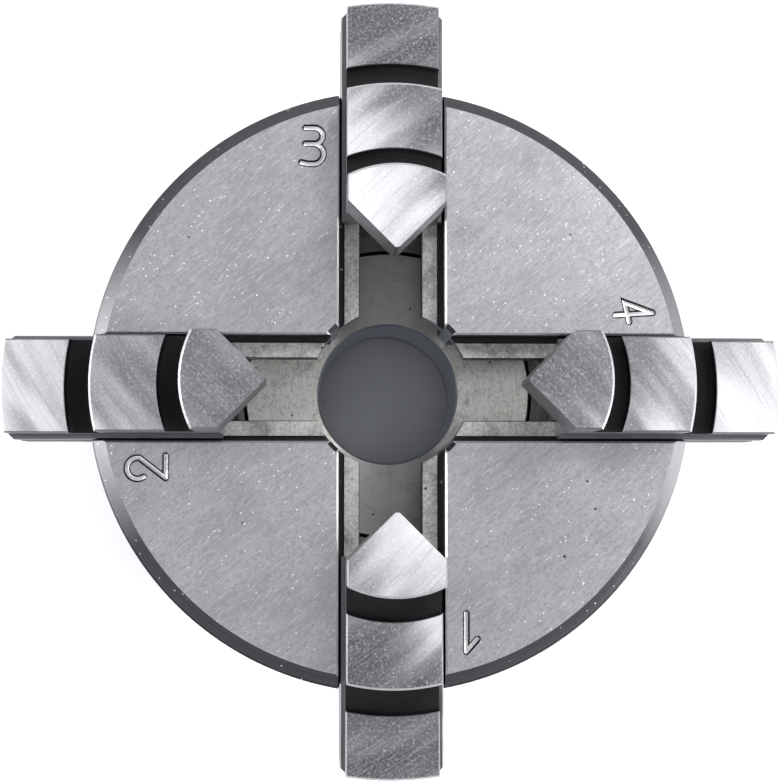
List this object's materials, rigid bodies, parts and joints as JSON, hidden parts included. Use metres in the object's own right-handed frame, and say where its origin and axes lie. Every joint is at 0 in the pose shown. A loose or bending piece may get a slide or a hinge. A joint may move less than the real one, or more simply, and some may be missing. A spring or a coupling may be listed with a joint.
{
  "type": "lathe chuck",
  "caption": "Self-centring lathe chuck: round body with a through bore and crossed slots, a scroll turned by bevel pinions, and stepped jaws that close together.",
  "frame": {"origin": "centre of the rear face, where the chuck's axis meets it", "axes": "+Z along the chuck's axis out of its front face; +X and +Y along the slots of jaw 4 and jaw 3"},
  "size_m": [0.1576, 0.1576, 0.084],
  "materials": {
    "body": "fine ground, satin",
    "jaws": "hardened and ground, relief grooves left black",
    "scroll": "hardened, dark and oiled",
    "cover": "fine turned",
    "pinions": "hardened, turned end",
    "screws": "black oxide"
  },
  "bodies": {
    "body": {"chuck_body": "body", "rear_cover": "cover", "cover_screw_1": "screws", "cover_screw_2": "screws", "cover_screw_3": "screws", "cover_screw_4": "screws", "pinion_retainer_1": "screws", "pinion_retainer_2": "screws", "pinion_retainer_3": "screws", "pinion_retainer_4": "screws"},
    "scroll": {"scroll_disc": "scroll"},
    "jaw_1": {"jaw_1": "jaws"},
    "jaw_2": {"jaw_2": "jaws"},
    "jaw_3": {"jaw_3": "jaws"},
    "jaw_4": {"jaw_4": "jaws"},
    "pinion_1": {"pinion_1": "pinions"},
    "pinion_2": {"pinion_2": "pinions"},
    "pinion_3": {"pinion_3": "pinions"},
    "pinion_4": {"pinion_4": "pinions"}
  },
  "joints": [
    {"name": "scroll_spin", "type": "hinge", "parent": "body", "child": "scroll", "pos_m": [0, 0, 0.03], "axis": [0, 0, 1], "range_deg": [-120, 1410]},
    {"name": "jaw_1_slide", "type": "slide", "parent": "body", "child": "jaw_1", "axis": [0, -1, 0], "range_m": [-0.0236, 0.0021]},
    {"name": "jaw_2_slide", "type": "slide", "parent": "body", "child": "jaw_2", "axis": [-1, 0, 0], "range_m": [-0.0236, 0.0021]},
    {"name": "jaw_3_slide", "type": "slide", "parent": "body", "child": "jaw_3", "axis": [0, 1, 0], "range_m": [-0.0236, 0.0021]},
    {"name": "jaw_4_slide", "type": "slide", "parent": "body", "child": "jaw_4", "axis": [1, 0, 0], "range_m": [-0.0236, 0.0021]},
    {"name": "pinion_1_spin", "type": "hinge", "parent": "body", "child": "pinion_1", "pos_m": [0.03889, 0.03889, 0.0175], "axis": [0.7071, 0.7071, 0], "range_deg": [-8775, 748]},
    {"name": "pinion_2_spin", "type": "hinge", "parent": "body", "child": "pinion_2", "pos_m": [-0.03889, 0.03889, 0.0175], "axis": [-0.7071, 0.7071, 0], "range_deg": [-8775, 748]},
    {"name": "pinion_3_spin", "type": "hinge", "parent": "body", "child": "pinion_3", "pos_m": [-0.03889, -0.03889, 0.0175], "axis": [-0.7071, -0.7071, 0], "range_deg": [-8775, 748]},
    {"name": "pinion_4_spin", "type": "hinge", "parent": "body", "child": "pinion_4", "pos_m": [0.03889, -0.03889, 0.0175], "axis": [0.7071, -0.7071, 0], "range_deg": [-8775, 748]}
  ],
  "couplings": [
    {"joint": "jaw_1_slide", "follows": "scroll_spin", "m_per_rad": -0.00095493},
    {"joint": "jaw_2_slide", "follows": "scroll_spin", "m_per_rad": -0.00095493},
    {"joint": "jaw_3_slide", "follows": "scroll_spin", "m_per_rad": -0.00095493},
    {"joint": "jaw_4_slide", "follows": "scroll_spin", "m_per_rad": -0.00095493},
    {"joint": "pinion_1_spin", "follows": "scroll_spin", "ratio": -6.2222},
    {"joint": "pinion_2_spin", "follows": "scroll_spin", "ratio": -6.2222},
    {"joint": "pinion_3_spin", "follows": "scroll_spin", "ratio": -6.2222},
    {"joint": "pinion_4_spin", "follows": "scroll_spin", "ratio": -6.2222}
  ]
}
